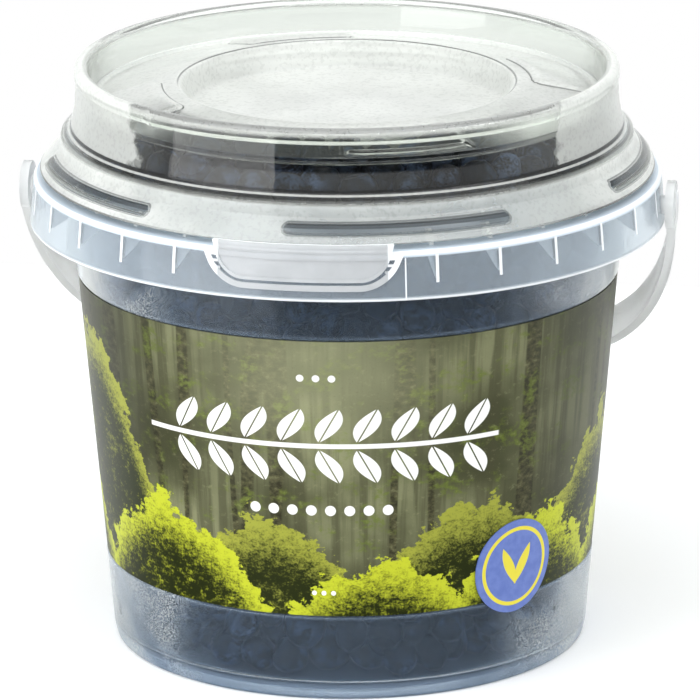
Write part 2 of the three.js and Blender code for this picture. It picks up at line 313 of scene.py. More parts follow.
def turned(name, outline, sides):
    """An outline of (radius, height) points in millimetres, spun about Z as on a lathe."""
    bpy.ops.object.select_all(action="DESELECT")
    bpy.ops.mesh.primitive_plane_add(size=mm)
    piece = bpy.context.object
    piece.name = name
    bpy.ops.object.mode_set(mode="EDIT")
    bpy.ops.mesh.select_mode(type="VERT")
    bpy.ops.mesh.merge(type="CENTER")
    here = Vector((0, 0))
    for point in outline:
        move = (point - here) * mm
        if here.length == 0:
            bpy.ops.transform.translate(value=(move.x, 0, move.y))
        else:
            bpy.ops.mesh.extrude_region_move(TRANSFORM_OT_translate={"value": (move.x, 0, move.y)})
        here = point
    bpy.ops.mesh.select_all(action="SELECT")
    bpy.ops.mesh.spin(steps=sides, angle=2 * math.pi, center=(0, 0, 0), axis=(0, 0, 1))
    bpy.ops.mesh.select_all(action="SELECT")
    bpy.ops.mesh.remove_doubles(threshold=0.002 * mm)
    bpy.ops.mesh.delete_loose(use_verts=True, use_edges=True, use_faces=False)
    face_outwards()
    return piece


def smooth(piece, degrees=38):
    alone(piece)
    bpy.ops.object.shade_smooth_by_angle(angle=math.radians(degrees))


inner_offset = wall_skin + label_recess
floor_low = 1.6
floor_high = 2.6
wall_top = wall_radius(flange_underside)
pail_corners = [
    (0.0, floor_low, 0),
    (foot_radius - 3.0, floor_low, 0.4),
    (foot_radius - 2.4, 0.0, 0.5),
    (foot_radius, 0.0, 0.7),
    (wall_radius(2.0), 2.0, 0),
    (wall_radius(2.5), 2.5, 0),
    (wall_radius(label_bottom), label_bottom, 0.1),
    (wall_radius(label_bottom) - label_recess, label_bottom + 0.3, 0.1),
    (wall_radius(label_top) - label_recess, label_top - 0.3, 0.1),
    (wall_radius(label_top), label_top, 0.1),
    (wall_top, flange_underside, 0.5),
    (collar_top_radius - collar_skin, flange_underside, 0.3),
    (collar_radius - collar_skin, collar_bottom, 0.3),
    (collar_radius, collar_bottom, 0.3),
    (collar_top_radius, flange_top, 0.6),
    (rim_radius + 0.1, flange_top, 0.3),
    (rim_radius - 0.1, rim_top, 0.4),
    (rim_radius - wall_skin - 0.1, rim_top - 0.1, 0.3),
    (wall_top - inner_offset, flange_underside, 0),
    (wall_radius(floor_high) - inner_offset, floor_high, 1.2),
    (0.0, floor_high, 0),
]
pail = turned("pail_moulding", rounded(pail_corners), sides=240)


def upright_plate(name, corners, thickness, degrees):
    """A flat plate with (radius, height) corners, standing across the wall at an angle from -Y."""
    bpy.ops.object.select_all(action="DESELECT")
    bpy.ops.mesh.primitive_circle_add(vertices=len(corners), radius=mm, fill_type="NGON")
    plate = bpy.context.object
    plate.name = name
    for vertex, (radius, height) in zip(plate.data.vertices, corners):
        vertex.co = (radius * mm, -thickness / 2 * mm, height * mm)
    bpy.ops.object.mode_set(mode="EDIT")
    bpy.ops.mesh.select_all(action="SELECT")
    bpy.ops.mesh.extrude_region_move(TRANSFORM_OT_translate={"value": (0, thickness * mm, 0)})
    face_outwards()
    plate.data.transform(Quaternion((0, 0, 1), math.radians(degrees - 90)).to_matrix().to_4x4())
    return plate


gusset_count = 27
gusset_first = 24          # degrees from the front, clear of the tear tab
gusset_pitch = 12
gusset_corners = [
    (collar_radius - 0.23, 77.4), (collar_top_radius + 0.12, flange_underside + 0.1),
    (wall_top - 0.5, flange_underside + 0.1), (wall_top - 0.5, flange_underside - 0.5)]
rib_corners = [
    (rim_radius - 0.3, flange_top - 0.3), (rim_radius + 2.9, flange_top - 0.3),
    (rim_radius + 2.9, flange_top + 0.2), (rim_radius + 1.6, flange_top + 1.6),
    (rim_radius - 0.3, flange_top + 1.8)]
seam_corners = [
    (collar_radius - 0.5, collar_bottom + 0.2), (collar_radius + 0.06, collar_bottom + 0.2),
    (collar_top_radius + 0.06, flange_top - 0.7), (collar_top_radius - 0.5, flange_top - 0.7)]
plates = []
for step in range(gusset_count):
    bearing = gusset_first + gusset_pitch * step
    plates.append(upright_plate("gusset", gusset_corners, thickness=0.55, degrees=bearing))
    plates.append(upright_plate("rib", rib_corners, thickness=0.7, degrees=bearing))
plates.append(upright_plate("collar_seam", seam_corners, thickness=0.25, degrees=18.3))


def wrapped(piece, radius_at):
    """Bend a flat piece, drawn in millimetres with X along and Y outwards, round the pail's front."""
    for vertex in piece.data.vertices:
        along, outward, height = vertex.co / mm
        radius = radius_at(height) + outward
        angle = along / radius_at(height)
        vertex.co = Vector((radius * math.sin(angle), -radius * math.cos(angle), height)) * mm


def collar_radius_at(height):
    share = (height - collar_bottom) / (flange_top - collar_bottom)
    return collar_radius + share * (collar_top_radius - collar_radius)


def choose(piece, kind, wanted):
    """Enter edit mode with only those vertices or faces selected for which a test holds."""
    bpy.ops.object.mode_set(mode="EDIT")
    bpy.ops.mesh.select_mode(type=kind)
    bpy.ops.mesh.select_all(action="DESELECT")
    bpy.ops.object.mode_set(mode="OBJECT")
    for part in piece.data.vertices if kind == "VERT" else piece.data.polygons:
        part.select = wanted(part)
    bpy.ops.object.mode_set(mode="EDIT")


def sliced(places, way):
    """Cut the mesh in edit mode straight across one way, at each of some places along it."""
    for place in places:
        bpy.ops.mesh.select_all(action="SELECT")
        bpy.ops.mesh.bisect(plane_co=[place * part for part in way], plane_no=way)


def rounded_panel(name, half_top, half_bottom, low, high, corner, inner, outer, rim=0):
    """A panel with two round lower corners; with a rim it is only a U-shaped bead of that width."""
    bpy.ops.object.select_all(action="DESELECT")
    bpy.ops.mesh.primitive_plane_add(size=mm, rotation=(math.pi / 2, 0, 0))
    panel = bpy.context.object
    panel.name = name
    bpy.ops.object.transform_apply(location=True, rotation=True, scale=True)
    places = [(-half_bottom, low), (half_bottom, low), (half_top, high), (-half_top, high)]
    order = sorted(panel.data.vertices, key=lambda v: (v.co.z, v.co.x))
    order[2], order[3] = order[3], order[2]
    for vertex, (along, height) in zip(order, places):
        vertex.co = Vector((along, inner, height)) * mm
    choose(panel, "VERT", lambda vertex: vertex.co.z < (low + 0.1) * mm)
    bpy.ops.mesh.bevel(offset=corner * mm, segments=8, affect="VERTICES")
    bpy.ops.mesh.select_all(action="SELECT")
    if rim:
        bpy.ops.mesh.inset(thickness=rim * mm)
        bpy.ops.mesh.delete(type="FACE")
        bpy.ops.mesh.select_all(action="SELECT")
    bpy.ops.mesh.extrude_region_move(TRANSFORM_OT_translate={"value": (0, (outer - inner) * mm, 0)})
    sliced(np.arange(-math.floor(half_top), half_top, 1.5) * mm, (1, 0, 0))
    face_outwards()
    wrapped(panel, collar_radius_at)
    return panel


frame_half = 17.1
tab_half = 15.4
tab_size = {
    "half_top": tab_half, "half_bottom": tab_half - 1.8, "low": 78.0, "high": 84.2, "corner": 3.6}
plates.append(rounded_panel(
    "tab_frame", half_top=frame_half, half_bottom=frame_half - 2.6, low=76.5, high=flange_top - 0.3,
    corner=4.5, inner=-0.5, outer=0.35, rim=0.95))
plates.append(rounded_panel("tab_panel", **tab_size, inner=-0.5, outer=0.2))
plates.append(rounded_panel("tab_bead", **tab_size, inner=0.0, outer=0.4, rim=0.5))
bridge_levels = (79.6, 80.7, 81.8)
bridge_long = 1.2
bridge_deep = 0.9
bridge_thick = 0.35
tab_lean = 0.36
for side in (-1, 1):
    for level in bridge_levels:
        bpy.ops.object.select_all(action="DESELECT")
        bpy.ops.mesh.primitive_cube_add(size=mm)
        bridge = bpy.context.object
        bridge.name = "tab_bridge"
        middle = 14.5 + (level - bridge_levels[0]) * tab_lean
        for vertex in bridge.data.vertices:
            along, outward, rise = vertex.co / mm
            vertex.co = Vector((
                side * middle + along * bridge_long,
                outward * bridge_deep - 0.1,
                level + rise * bridge_thick)) * mm
        wrapped(bridge, collar_radius_at)
        plates.append(bridge)


def length(along, across):
    """How long a line is, from its two legs."""
    return (along * along + across * across).math("SQRT")


def place_on_piece(wire):
    """A point's place, its radius and height in millimetres, and its bearing from -Y in degrees."""
    place = wire.node("ShaderNodeTexCoord", output="Object")
    x, y, z = place.split()
    bearing = x.math("ARCTAN2", 0 - y) * (180 / math.pi)
    return place, length(x, y) / mm, z / mm, bearing


plastic_ior = 1.49
white_edge = (0.94, 0.96, 0.98)
camera_bearing = 8           # the bearing the camera looks from; painted side sheen grows away from it
material, wire = new_finish("milky_polypropylene")
place, radius, height, bearing = place_on_piece(wire)
on_collar = (radius - (height * wall_taper + wall_radius(0))).step(0.2, 0.9) * height.step(60, 70)
on_rim = height.step(flange_underside - 0.2, flange_underside)
on_foot = height.step(3.4, 2.4)
on_line = height.step(collar_bottom + 0.65, collar_bottom + 0.35) * radius.step(52, 53)
on_line = on_line + height.step(flange_top - 0.8, flange_top - 0.6) * radius.step(53.65, 53.85)
on_step = abs(height - label_top).at_most(abs(height - label_bottom)).step(0.5, 0.2)
off_front = abs(bearing - camera_bearing)
clouds = place.noise(60, 4.0)
drops = place.noise(3600, 1.0).step(0.36, 0.7)
# Condensation mist, partly painted sheen: it is made whiter towards the sides as the camera sees them,
# for their grazing reflection, and fades towards the back.
side_haze_and_sheen = off_front.step(46, 72) * off_front.step(150, 120) * height.step(12, 40, 0.6, 1.0)
speckle = drops * off_front.step(32, 50) * clouds.step(0.38, 0.56)
mist_and_side_sheen = side_haze_and_sheen * clouds.step(0.2, 0.6, 0.5, 0.9) * 0.36 + speckle * (1 - side_haze_and_sheen) * 0.36
mist_and_side_sheen = mist_and_side_sheen * (1 - on_collar) * (1 - on_rim)
cells = place.node("ShaderNodeTexVoronoi", None, {"Vector": place, "Scale": 105})
wet_spot = cells.step(0.05, 0.08)
bump = place.noise(260, 2.0).bump(0.12, 0.4)
clear_plastic = principled(wire, {
    "Base Color": (0.86, 0.93, 0.98), "Roughness": 0.11, "IOR": plastic_ior,
    "Transmission Weight": 1.0, "Normal": bump})
milk = (on_line + on_rim * 0.6).mix((0.52, 0.70, 0.96), white_edge)
milk = on_collar.mix(milk, on_line.mix((0.74, 0.84, 0.94), white_edge))
milk = (mist_and_side_sheen * 3).at_most(1.0).mix(milk, (0.90, 0.92, 0.88))
milky_plastic = principled(wire, {
    "Base Color": milk, "Roughness": 0.4, "IOR": plastic_ior, "Normal": bump})
cloudiness = (0.032 + 0.03 * clouds + mist_and_side_sheen) * wet_spot + 0.15 * on_collar + 0.6 * on_rim
cloudiness = (cloudiness + 0.14 * on_foot + 0.6 * on_line + on_step * 0.06).at_most(0.9)
finished(material, cloudiness.mix_shaders(clear_plastic, milky_plastic), pail)

material, wire = new_finish("white_polypropylene_painted_glow")
place, radius, height, bearing = place_on_piece(wire)
on_panel = abs(bearing).step(15.3, 15.0) * radius.step(55.35, 55.25) * radius.step(54.0, 54.3)
clear_plastic = principled(wire, {
    "Base Color": (0.93, 0.96, 0.98), "Roughness": 0.2, "IOR": plastic_ior,
    "Transmission Weight": 1.0})
# Partly painted glow: the fins, ribs and tear tab are a whiter mix than the wall, for the light they
# would catch through the collar.
white_plastic_and_glow = principled(wire, {"Base Color": white_edge, "Roughness": 0.4, "IOR": plastic_ior})
cloudiness = 0.93 - 0.45 * on_panel + 0.1 * (place.noise(300, 2.0) - 0.5)
finished(material, cloudiness.mix_shaders(clear_plastic, white_plastic_and_glow), *plates)


def joined(piece, others):
    """Fuse other solids into a piece, and remove them."""
    group = bpy.data.collections.new(piece.name + "_parts")
    for other in others:
        group.objects.link(other)
    alone(piece)
    union = piece.modifiers.new("union", "BOOLEAN")
    union.operation = "UNION"
    union.operand_type = "COLLECTION"
    union.collection = group
    union.solver = "EXACT"
    union.material_mode = "TRANSFER"
    bpy.ops.object.modifier_apply(modifier=union.name)
    for other in others:
        bpy.data.objects.remove(other)
    bpy.data.collections.remove(group)


joined(pail, plates)
smooth(pail)
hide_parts("pail")
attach(pail, "pack")


# Lid. A clear moulded dome that snaps over the pail's rim: a flared skirt with long dimples, a
# shoulder bead, an upright wall, and a stacking ring round a sloping shelf with four raised pads
# and a sunk middle. Its top is fogged on the inside by the berries, and that fog is also painted
# sheen, whiter at the sides as the camera sees them. Painted shade draws dark lines at its edges,
# with a painted highlight ring on the shoulder.

lid_skin = 0.8
ring_radius = 46.8
shelf_low = 95.8
shelf_edge = 98.7
shelf_radius = 43.6
recess_radius = 29.0
recess_floor = 93.9
skirt_bottom = 84.1
shoulder_radius = 49.7
shoulder_bottom = 88.9
lid_outside = [
    (skirt_radius, skirt_bottom, 0.1),
    (shoulder_radius + 0.2, shoulder_bottom - 1.1, 0.6),
    (shoulder_radius, shoulder_bottom, 0),
    (49.4, 90.0, 0.5),
    (47.7, 91.3, 0.6),
    (ring_radius + 0.2, 95.0, 0),
    (ring_radius, lid_top - 2.6, 0.3),
    (ring_radius + 0.25, lid_top - 1.9, 0.5),
    (ring_radius + 0.1, lid_top, 0.9),
    (ring_radius - 2.0, lid_top, 0.9),
    (shelf_radius + 0.3, shelf_low + 0.8, 0.6),
    (shelf_radius - 0.4, shelf_low, 0.5),
    (recess_radius + 0.6, shelf_edge, 0.5),
    (recess_radius - 0.3, shelf_edge - 0.3, 0.5),
    (recess_radius - 1.6, recess_floor, 0.7),
    (0.0, recess_floor, 0),
]
lid_inside = [
    (0.0, recess_floor - lid_skin, 0),
    (recess_radius - 0.9, recess_floor - lid_skin, 0.9),
    (recess_radius + 0.4, shelf_edge - lid_skin - 0.1, 0.6),
    (shelf_radius - 0.3, shelf_low - lid_skin, 0.8),
    (shelf_radius + 1.0, shelf_low - lid_skin + 0.8, 0.6),
    (ring_radius - 1.35, lid_top - 1.1, 0),
    (ring_radius - 0.8, lid_top - 0.9, 0.2),
    (ring_radius - lid_skin, lid_top - 2.2, 0.3),
    (ring_radius - lid_skin + 0.2, 94.9, 0),
    (46.9, 90.7, 0.6),
    (48.6, 89.4, 0.4),
    (shoulder_radius - lid_skin, shoulder_bottom - 0.2, 0),
    (shoulder_radius - lid_skin + 0.2, shoulder_bottom - 1.6, 0.6),
    (skirt_radius - 0.7, skirt_bottom - 0.4, 0.1),
]
lid_outline = rounded(lid_outside + lid_inside)
lid = turned("lid_dome", evenly(lid_outline + lid_outline[:1], longest=0.7), sides=288)


def soft_step(value, low, high):
    share = np.clip((value - low) / (high - low), 0, 1)
    return share * share * (3 - 2 * share)


def turn_from(angle, centre):
    """The signed angle in degrees from a centre, in half turns either way."""
    return (angle - centre + 180) % 360 - 180


corners = np.empty(len(lid.data.vertices) * 3)
lid.data.vertices.foreach_get("co", corners)
corners = corners.reshape(-1, 3) / mm
spread = np.hypot(corners[:, 0], corners[:, 1])
bearing = np.degrees(np.arctan2(corners[:, 0], -corners[:, 1]))
level = corners[:, 2]
push = np.zeros(len(corners))
lift = np.zeros(len(corners))

radian = 57.3              # degrees
dimple_first = 18          # degrees from the front
dimple_pitch = 72
dimple_radius = 51.5
dimple_level = 86.2
dimple_half_long = 18.6
dimple_half_high = 0.95
dimple_stretch = 1.25
dimple_deep = 0.62
for centre in range(dimple_first, dimple_first + 360, dimple_pitch):
    along = np.abs(turn_from(bearing, centre)) / radian * dimple_radius
    beyond = np.maximum(along - dimple_half_long, 0)
    reach = np.hypot(beyond, (level - dimple_level) * dimple_stretch)
    on_skirt = (level < shoulder_bottom - 0.6) & (spread > shoulder_radius - 0.9)
    dent = dimple_deep * soft_step(reach, dimple_half_high + 0.5, dimple_half_high - 0.1)
    push += np.where(on_skirt, dent, 0)

pad_first = 23
pad_pitch = 90
pad_half_long = 0.235      # radians
pad_radius = 37.0
pad_half_wide = 3.2
pad_edge = 1.9
pad_high = 0.75
for centre in range(pad_first, pad_first + 360, pad_pitch):
    along = np.abs(turn_from(bearing, centre)) / radian * spread
    beyond = np.maximum(along - pad_half_long * spread, 0)
    across = np.maximum(np.abs(spread - pad_radius) - pad_half_wide, 0)
    reach = np.hypot(beyond, across)
    on_shelf = (level > shelf_low - 1.4) & (spread < 43) & (spread > 30.5)
    lift += np.where(on_shelf, pad_high * soft_step(reach, pad_edge, 0.9), 0)

notch_half = 12            # degrees
notch_deep = 0.45
for centre in (70, 190, 310):
    beside = notch_half - np.abs(turn_from(bearing, centre))
    on_ring = (level > lid_top - 3.6) & (spread > ring_radius - 1.2)
    in_notch = soft_step(beside, -0.8, 0.8) * soft_step(level, 98.4, 99.6)
    push -= np.where(on_ring, notch_deep * in_notch, 0)

slot_middle = 24.5
slot_half = 14.5
slot_level = lid_top - 0.7
slot_deep = 0.16
beside = slot_half - np.abs(turn_from(bearing, slot_middle))
in_slot = soft_step(beside, -2, 2) * soft_step(np.abs(level - slot_level), 0.8, 0.4)
push -= np.where(spread > ring_radius - 1.2, slot_deep * in_slot, 0)
corners[:, 0] += push * corners[:, 0] / np.maximum(spread, 1)
corners[:, 1] += push * corners[:, 1] / np.maximum(spread, 1)
corners[:, 2] += lift
lid.data.vertices.foreach_set("co", (corners * mm).ravel())
lid.data.update()
smooth(lid)


def from_nearest(bearing, first, pitch):
    """The signed angle from the nearest of some places that are a pitch apart all round."""
    return ((bearing + 360 - first + pitch / 2) / pitch).math("FRACT") * pitch - pitch / 2


material, wire = new_finish("clear_lid_plastic")
place, radius, height, bearing = place_on_piece(wire)
x, y, _ = place.split()
patches = place.noise(45, 4.0)
drops = place.noise(1400, 2.0).step(0.5, 0.64)
in_dome = height.step(92.6, 93.4)
on_recess = radius.step(recess_radius + 1.5, recess_radius - 1.0) * in_dome
on_shelf = radius.step(44.6, 43.2) * in_dome * (1 - on_recess)
off_front = abs(bearing - camera_bearing + (place.noise(240, 4.0) - 0.5) * 14)
# Partly painted sheen: the upright wall is fogged only at its sides as the camera sees them, for their
# grazing reflection.
side_fog_and_sheen = radius.step(45.2, 45.8) * height.step(91.0, 92.0) * (
    off_front.step(49, 51) * off_front.step(118, 100))
to_back = (y / mm + abs(x / mm) * 0.75).step(-14.0, 12.0)
fogged_shelf = on_shelf * to_back.at_least(radius.step(35.0, 32.5))
fogged_ring = height.step(100.3, 100.9) * radius.step(44.4, 45.0)
# The top's fog of condensation also stands in for the white of its grazing reflection.
fog_and_sheen = on_recess * patches.step(0.3, 0.65, 0.52, 0.66)
fog_and_sheen = fog_and_sheen + fogged_shelf * patches.step(0.3, 0.6, 0.4, 0.55)
fog_and_sheen = fog_and_sheen + side_fog_and_sheen * 0.4 + fogged_ring * 0.3

# Painted shade: two dark rings round the shoulder, for the dark that its curve refracts, with a painted
# highlight ring between them.
dark_ring_level = 91.5
outer_skin = (radius - (91.3 - height).at_least(0.0) * 1.31 - 47.3).step(0.0, 0.15)
painted_dark_rings = height.line(dark_ring_level, 0.3, 0.2) + height.line(dark_ring_level - 1.0, 0.2, 0.1) * 0.7
painted_dark_rings = painted_dark_rings * outer_skin * patches.step(0.25, 0.5, 0.75, 1.0)
fog_and_sheen = fog_and_sheen + height.line(dark_ring_level - 0.5, 0.2, 0.1) * outer_skin * 0.5

# Painted shade: thin dark lines round the shelf's pads and along the back of the recess rim.
past_end = (abs(from_nearest(bearing, pad_first, pad_pitch)) / radian - pad_half_long) * radius
past_side = abs(radius - pad_radius) - pad_half_wide
pad_reach = length(past_end.at_least(0.0), past_side.at_least(0.0))
pad_shade_line = pad_reach.line(pad_edge, 0.2, 0.1) * on_shelf * patches.step(0.40, 0.46)
rim_shade_line = radius.line(recess_radius + 0.2, 0.2, 0.1) * height.step(98.0, 98.3) * y.step(-0.01, 0.0)

# Painted shade: dark lines round the skirt's dimples, light shading inside them, and a dark line along
# the skirt's foot towards the sides.
past_end = abs(from_nearest(bearing, dimple_first, dimple_pitch)) * (dimple_radius / radian)
dimple_rise = (height - dimple_level) * dimple_stretch
dimple_reach = length((past_end - dimple_half_long).at_least(0.0), dimple_rise)
on_skirt = radius.step(49.0, 49.5) * height.step(88.0, 87.9)
dimple_shade_line = dimple_reach.line(1.25, 0.16, 0.08) + (
    dimple_reach.step(1.1, 0.9) * dimple_rise.step(0.1, 0.3))
dimple_shade_line = dimple_shade_line * on_skirt
in_dimple = dimple_reach.step(1.2, 0.9) * on_skirt
to_side = abs(bearing - camera_bearing).step(20, 55)
skirt_shade_line = height.step(84.4, 84.28) * to_side
skirt_fog = height.step(90.2, 89.4) * patches.step(0.35, 0.65, 0.22, 0.36)
# Painted sheen: the skirt's fog is made stronger towards the sides as the camera sees them.
fog_and_sheen = fog_and_sheen + skirt_fog * (1 + 0.9 * to_side) * (1 - in_dimple)

# All of this painted shade is given as a dark tint of the clear plastic.
shade = painted_dark_rings + pad_shade_line * 0.8 + rim_shade_line * 0.8 + dimple_shade_line * 0.6 + in_dimple * 0.2
shade = (shade + skirt_shade_line * 0.8).at_most(1.0)
bump = place.noise(90, 2.0).bump(0.06, 0.5)
clear_lid = principled(wire, {
    "Base Color": shade.mix((0.955, 0.975, 0.945), (0.03, 0.035, 0.04)),
    "Roughness": 0.015, "IOR": 1.5, "Transmission Weight": 1.0, "Normal": bump})
fog_and_sheen_white = principled(wire, {"Base Color": (0.89, 0.905, 0.87), "Roughness": 0.5, "Normal": bump})
fog_and_sheen = fog_and_sheen * (1 - 0.12 * drops) * (1 - shade)
finished(material, fog_and_sheen.mix_shaders(clear_lid, fog_and_sheen_white), lid)
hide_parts("lid")
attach(lid, "pack")


# Berries. The pail is packed to the lid with small wild blueberries, 5 to 8 mm across, dark
# blue-black under a dull bloom, each with its round crown. They are packed by pushing overlapping
# ones apart until they fit between the wall, the lid and a dark core that stands for the rest.

draw = np.random.default_rng(7)

cavity = np.array([
    (0.0, floor_high), (39.0, floor_high), (40.1, 3.2), (47.0, 82.0), (47.2, 89.0), (46.9, 91.5),
    (46.2, 93.1), (45.9, 95.0), (45.9, 100.5), (45.4, 100.9), (44.4, 95.6), (43.3, 95.0),
    (29.7, 97.5), (27.9, 93.1), (0.0, 93.1)])
berry_clearance = 0.25


def cavity_radius(height):
    return np.interp(height, (2.8, 82.0, 89.2, 91.5, 93.1, 95.0, 101.0),
                     (40.1, 47.0, 47.1, 46.9, 46.2, 45.9, 45.8))


def heap_top(across, deep):
    """The level that the berries reach, over a place seen from above."""
    sideways = np.interp(across, (-47, -42, -38, -33, -29, 30, 33, 38, 43, 47),
                         (86, 88, 92.6, 93.6, 96.8, 96.8, 95.2, 93.4, 90, 86))
    backwards = np.interp(deep, (-47, -42, -33, 8, 30, 47), (92.6, 94.2, 97, 97, 92, 88))
    return np.minimum(sideways, backwards) + 0.6 * np.sin(across * 0.5) * np.cos(deep * 0.4)


def kept_inside(centres, sizes):
    """Push each berry off the pail's wall and the lid, seen as one outline of radius and height."""
    spread = np.hypot(centres[:, 0], centres[:, 1]) + 1e-6
    level = centres[:, 2].copy()
    moved = spread.copy()
    for start, end in zip(cavity, cavity[1:]):
        along = end - start
        share = ((moved - start[0]) * along[0] + (level - start[1]) * along[1]) / (along @ along)
        share = np.clip(share, 0, 1)
        from_wall = np.stack([moved - start[0] - share * along[0], level - start[1] - share * along[1]])
        gap = np.hypot(*from_wall) + 1e-6
        short = np.maximum(sizes + berry_clearance - gap, 0)
        moved += short * from_wall[0] / gap
        level += short * from_wall[1] / gap
    moved = np.abs(moved)
    centres[:, :2] *= (moved / spread)[:, None]
    centres[:, 2] = level


def zone(count, low, high, inner):
    """Random first places between two heights, outside an inner radius."""
    heights = draw.uniform(low, high, count)
    outer = cavity_radius(heights) - 4.5
    spread = np.sqrt(draw.uniform(inner ** 2, outer ** 2))
    turn = draw.uniform(0, 2 * math.pi, count)
    return np.stack([spread * np.cos(turn), spread * np.sin(turn), heights], 1)


# How many berries start where: their count, lowest and highest level, and inner radius.
zones = {
    "wall": (150, 7.0, 18.0, 33.0),
    "base": (70, 7.0, 8.0, 3.0),
    "band": (230, 60.0, 82.0, 38.0),
    "heap": (215, 87.0, 92.0, 10.0),
    "crest": (80, 90.0, 92.0, 32.0),
}
seeds = np.concatenate([zone(*limits) for limits in zones.values()])
sizes = np.clip(draw.normal(3.3, 0.38, len(seeds)), 2.5, 4.1)
home = np.repeat(list(zones), [count for count, _, _, _ in zones.values()])
in_base = home == "base"
in_band = home == "band"
in_crest = home == "crest"
in_heap = (home == "heap") | in_crest
packing_rounds = 110
for _ in range(packing_rounds):
    apart = seeds[:, None] - seeds[None]
    distance = np.linalg.norm(apart, axis=2) + 1e-6
    overlap = np.maximum((sizes[:, None] + sizes[None]) * 0.97 - distance, 0)
    np.fill_diagonal(overlap, 0)
    seeds += 0.3 * ((overlap / distance)[..., None] * apart).sum(1)
    spread = np.hypot(seeds[:, 0], seeds[:, 1]) + 1e-6
    narrowest = np.where(in_heap | in_base, 0, cavity_radius(seeds[:, 2]) - 6.2)
    narrowest = np.where(in_crest, 31, narrowest)
    widest = cavity_radius(seeds[:, 2]) - sizes - berry_clearance
    seeds[:, :2] *= (np.clip(spread, narrowest, widest) / spread)[:, None]
    under_lid = np.interp(spread, (0, 28, 31, 43.3), (93.1, 93.1, 97.2, 95.0)) - berry_clearance
    top = np.minimum(heap_top(seeds[:, 0], seeds[:, 1]), under_lid) - sizes
    low = np.where(in_crest, top - 0.8, np.minimum(87.0, top - 3))
    low = np.where(in_heap, low, np.where(in_band, 60, floor_high + sizes))
    high = np.where(in_heap, top, np.where(in_band, 84, np.where(in_base, 9.5, 20)))
    seeds[:, 2] = np.clip(seeds[:, 2], low, high)
    kept_inside(seeds, sizes)
seeds[:, 2] = np.where(in_heap, np.minimum(seeds[:, 2], top), seeds[:, 2])

bpy.ops.object.select_all(action="DESELECT")
bpy.ops.mesh.primitive_uv_sphere_add(segments=14, ring_count=8, radius=1)
pattern = bpy.context.object
crown_ring = 0.80
choose(pattern, "FACE", lambda face: face.center.z > crown_ring)
bpy.ops.mesh.inset(thickness=0.07, depth=0.05)
bpy.ops.mesh.inset(thickness=0.08, depth=-0.12)
bpy.ops.mesh.select_all(action="SELECT")
bpy.ops.mesh.quads_convert_to_tris()
bpy.ops.object.mode_set(mode="OBJECT")
shape = np.array([vertex.co for vertex in pattern.data.vertices])
faces = np.array([face.vertices for face in pattern.data.polygons])
bpy.data.objects.remove(pattern)
crown = soft_step(shape[:, 2], 0.70, 0.80) * soft_step(np.hypot(shape[:, 0], shape[:, 1]), 0.40, 0.30)

all_corners = []
all_faces = []
tones = []
crowns = []
for number, (centre, size) in enumerate(zip(seeds, sizes)):
    facing = Vector(draw.normal(size=3)) + Vector((0, 0, 1.6 if in_heap[number] else 0))
    spin = np.array(facing.to_track_quat("Z", "Y").to_matrix())
    squash = np.array([1, draw.uniform(0.92, 1.03), draw.uniform(0.82, 0.95)])
    dents = 1 + 0.05 * np.sin(shape @ draw.normal(0, 2.4, 3) + draw.uniform(0, 6))
    all_corners.append((shape * squash * dents[:, None] * size) @ spin.T + centre)
    all_faces.append(faces + number * len(shape))
    tones.append(np.full(len(shape), draw.uniform(0, 1)))
    crowns.append(crown)
berries = bpy.data.objects.new("wild_blueberries", bpy.data.meshes.new("wild_blueberries"))
bpy.context.scene.collection.objects.link(berries)
berries.data.from_pydata(np.concatenate(all_corners) * mm, [], np.concatenate(all_faces).tolist())
for name, values in (("tone", np.concatenate(tones)), ("crown", np.concatenate(crowns))):
    berries.data.attributes.new(name, "FLOAT", "POINT").data.foreach_set("value", values)
berries.data.update()
smooth(berries, degrees=60)

material, wire = new_finish("berry_skin")
place = wire.node("ShaderNodeTexCoord", output="Object")
tone = wire.node("ShaderNodeAttribute", {"attribute_name": "tone"}, output="Fac")
crown_mask = wire.node("ShaderNodeAttribute", {"attribute_name": "crown"}, output="Fac")
bloom = (place.noise(420, 3.0) * 0.6 + place.noise(2600, 2.0) * 0.4).step(0.41, 0.59)
wipes = place.noise(170, 2.0).step(0.44, 0.58)
skin = bloom * (0.3 + 0.7 * tone) * (0.2 + 0.8 * wipes)
skin = skin.mix(colour(6, 10, 18), colour(90, 108, 138))
skin = tone.step(0.80, 0.95, 0.0, 0.45).mix(skin, colour(36, 26, 32))
sparks = place.noise(95, 1.0).step(0.745, 0.76)
skin = (sparks * tone.step(0.6, 0.62)).mix(skin, colour(150, 70, 34))
skin = (crown_mask * 0.75).mix(skin, colour(26, 24, 28))
berry_shader = principled(wire, {
    "Base Color": skin, "Roughness": bloom.step(0, 1, 0.3, 0.62), "Specular IOR Level": 0.1,
    "Normal": place.noise(520, 4.0, 0.6).bump(0.4, 0.4)})
finished(material, berry_shader, berries)

core_outline = [
    Vector((0.0, 5.5)),
    Vector((cavity_radius(6.0) - 7.5, 5.5)),
    Vector((cavity_radius(20.0) - 6.0, 19.0)),
    Vector((cavity_radius(60.0) - 6.0, 60.0)),
    Vector((cavity_radius(82.0) - 6.0, 82.0)),
    Vector((cavity_radius(84.0) - 10.0, 85.0)),
    Vector((22.0, 87.5)),
    Vector((0.0, 87.0)),
]
core = turned("berry_core", core_outline, sides=64)
smooth(core)
core.data.materials.append(material)
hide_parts("berries")
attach(berries, "pack")
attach(core, "pack")


# Label. A thin film printed in satin inks, moulded round the wall with a narrow seam at the
# back. The print is a misty wood with mossy hills in yellow-green, and a white leafy band
# across the front.

